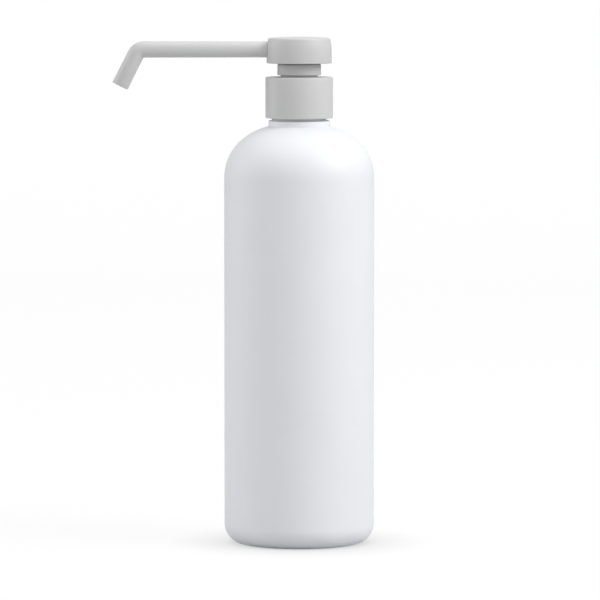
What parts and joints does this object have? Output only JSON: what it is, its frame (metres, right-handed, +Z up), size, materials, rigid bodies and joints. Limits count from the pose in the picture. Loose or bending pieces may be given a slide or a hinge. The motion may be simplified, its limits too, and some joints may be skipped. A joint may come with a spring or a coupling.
{
  "type": "pump bottle",
  "caption": "Tall round plastic bottle with a screw closure and a lock-down dispenser pump whose long bent spout swivels, lifts and presses down.",
  "frame": {"origin": "on the bottle's axis, at the plane that its standing ring rests on", "axes": "+Z up the bottle's axis, -X the way the spout points at rest"},
  "size_m": [0.1202, 0.069, 0.2332],
  "materials": {
    "bottle_polyethylene": "fine matt blown surface",
    "pump_polypropylene": "satin moulded",
    "inner_polypropylene": "natural moulded",
    "gasket_foam": "matt foam sheet",
    "spring_steel": "drawn wire"
  },
  "bodies": {
    "bottle": {"bottle": "bottle_polyethylene"},
    "pump": {"housing": "inner_polypropylene", "gasket": "gasket_foam", "dip_tube": "inner_polypropylene", "chaplet": "pump_polypropylene", "spring": "spring_steel"},
    "closure": {"closure": "pump_polypropylene"},
    "inlet_ball": {"inlet_ball": "spring_steel"},
    "piston": {"piston": "inner_polypropylene"},
    "valve_rod": {"valve_rod": "inner_polypropylene"},
    "actuator": {"head": "pump_polypropylene", "spout": "pump_polypropylene", "stem": "inner_polypropylene"}
  },
  "joints": [
    {"name": "pump_rise", "type": "slide", "parent": "bottle", "child": "pump", "axis": [0, 0, 1], "range_m": [0, 0.00634]},
    {"name": "closure_turn", "type": "hinge", "parent": "pump", "child": "closure", "pos_m": [0, 0, 0.1959], "axis": [0, 0, 1], "range_deg": [0, 540]},
    {"name": "head_lift", "type": "slide", "parent": "pump", "child": "piston", "axis": [0, 0, 1], "range_m": [0, 0.014], "deforming": ["spring"]},
    {"name": "outlet_valve", "type": "slide", "parent": "piston", "child": "valve_rod", "axis": [0, 0, 1], "range_m": [0, 0.0008]},
    {"name": "head_turn", "type": "hinge", "parent": "valve_rod", "child": "actuator", "pos_m": [0, 0, 0.2211], "axis": [0, 0, 1], "continuous": true},
    {"name": "inlet_valve", "type": "slide", "parent": "pump", "child": "inlet_ball", "axis": [0, 0, 1], "range_m": [0, 0.0012]}
  ],
  "couplings": [
    {"joint": "closure_turn", "follows": "pump_rise", "rad_per_m": 1485.4}
  ]
}
